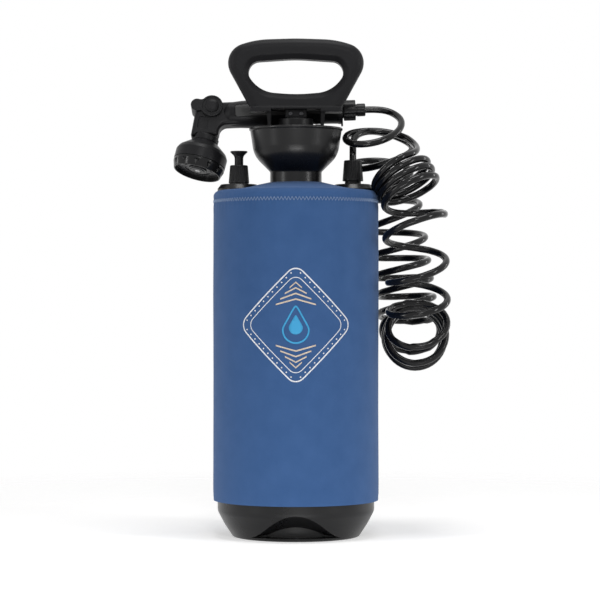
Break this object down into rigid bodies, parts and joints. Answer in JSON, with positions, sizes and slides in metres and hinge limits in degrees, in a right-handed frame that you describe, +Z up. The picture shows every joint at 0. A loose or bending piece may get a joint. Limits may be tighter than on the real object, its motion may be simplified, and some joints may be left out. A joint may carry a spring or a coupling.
{
  "type": "portable shower",
  "caption": "Hand-pumped pressure tank in a soft sleeve, with a pump handle in a funnel neck, a relief valve, and a curly hose to a shower handset.",
  "frame": {"origin": "centre of the foot ring, on the floor under the tank's axis", "axes": "+Z up along the tank's axis, -Y the front with the arched scoop and the print, +X the side of the hose"},
  "size_m": [0.3181, 0.2196, 0.571],
  "materials": {
    "tank_plastic": "satin black blow-moulded plastic",
    "neoprene": "blue knit-faced neoprene",
    "seal_rubber": "black rubber",
    "fitting_plastic": "black moulded plastic",
    "steel": "stainless steel",
    "clear_tube": "translucent white tube",
    "hose": "glossy black polyurethane hose",
    "pump_plastic": "black plastic",
    "handle_plastic": "matt black grained plastic",
    "handset_plastic": "matt black plastic",
    "grip_rubber": "soft black rubber",
    "dial_plastic": "glossy black plastic",
    "face_plastic": "black plastic"
  },
  "bodies": {
    "tank_unit": {"tank": "tank_plastic", "insulating_sleeve": "neoprene", "relief_gasket": "seal_rubber", "relief_cap": "fitting_plastic", "relief_spring": "steel", "outlet_gasket": "seal_rubber", "outlet_tail": "fitting_plastic", "outlet_cap_nut": "fitting_plastic", "dip_tube": "clear_tube", "dip_strainer": "fitting_plastic", "hose_coil": "hose", "hose_lead_handset": "hose", "hose_lead_outlet": "hose"},
    "relief_valve": {"relief_plunger": "fitting_plastic", "relief_seal": "seal_rubber"},
    "pump_unit": {"pump_head": "pump_plastic", "pump_head_seal": "seal_rubber", "rod_guide": "pump_plastic", "pump_barrel": "pump_plastic", "barrel_foot": "pump_plastic", "check_flap": "seal_rubber"},
    "handle_unit": {"pump_handle": "handle_plastic", "handle_screws": "steel", "piston_rod": "steel", "piston_head": "pump_plastic", "piston_cup": "seal_rubber", "piston_nut": "steel"},
    "handset_unit": {"handset_body": "handset_plastic", "grip_pads": "grip_rubber", "hose_tail": "fitting_plastic", "hose_nut": "fitting_plastic", "hose_washer": "seal_rubber", "head_shell": "handset_plastic", "head_collar": "handset_plastic", "head_gasket": "seal_rubber"},
    "lever_unit": {"thumb_lever": "handset_plastic", "lever_caps": "handset_plastic", "valve_spindle": "pump_plastic", "spindle_seals": "seal_rubber"},
    "dial_unit": {"dial_ring": "dial_plastic", "spray_face": "face_plastic", "face_insert": "face_plastic", "face_screw": "steel"}
  },
  "joints": [
    {"name": "relief_pull", "type": "slide", "parent": "tank_unit", "child": "relief_valve", "axis": [0, 0, 1], "range_m": [0, 0.004], "stiffness_N_per_m": 400, "springref_m": -0.003, "deforming": ["relief_spring"]},
    {"name": "pump_lift", "type": "slide", "parent": "tank_unit", "child": "pump_unit", "axis": [0, 0, 1], "range_m": [0, 0.42]},
    {"name": "pump_stroke", "type": "slide", "parent": "pump_unit", "child": "handle_unit", "axis": [0, 0, 1], "range_m": [0, 0.24]},
    {"name": "handset_off", "type": "slide", "parent": "tank_unit", "child": "handset_unit", "axis": [0, 1, 0], "range_m": [0, 0.12]},
    {"name": "lever_turn", "type": "hinge", "parent": "handset_unit", "child": "lever_unit", "pos_m": [-0.09788, 0.04607, 0.4937], "axis": [0.0106, 0.9613, -0.2754], "range_deg": [0, 70]},
    {"name": "dial_turn", "type": "hinge", "parent": "handset_unit", "child": "dial_unit", "pos_m": [-0.1132, 0.02678, 0.42579], "axis": [-0.24, -0.265, -0.9339], "continuous": true}
  ]
}
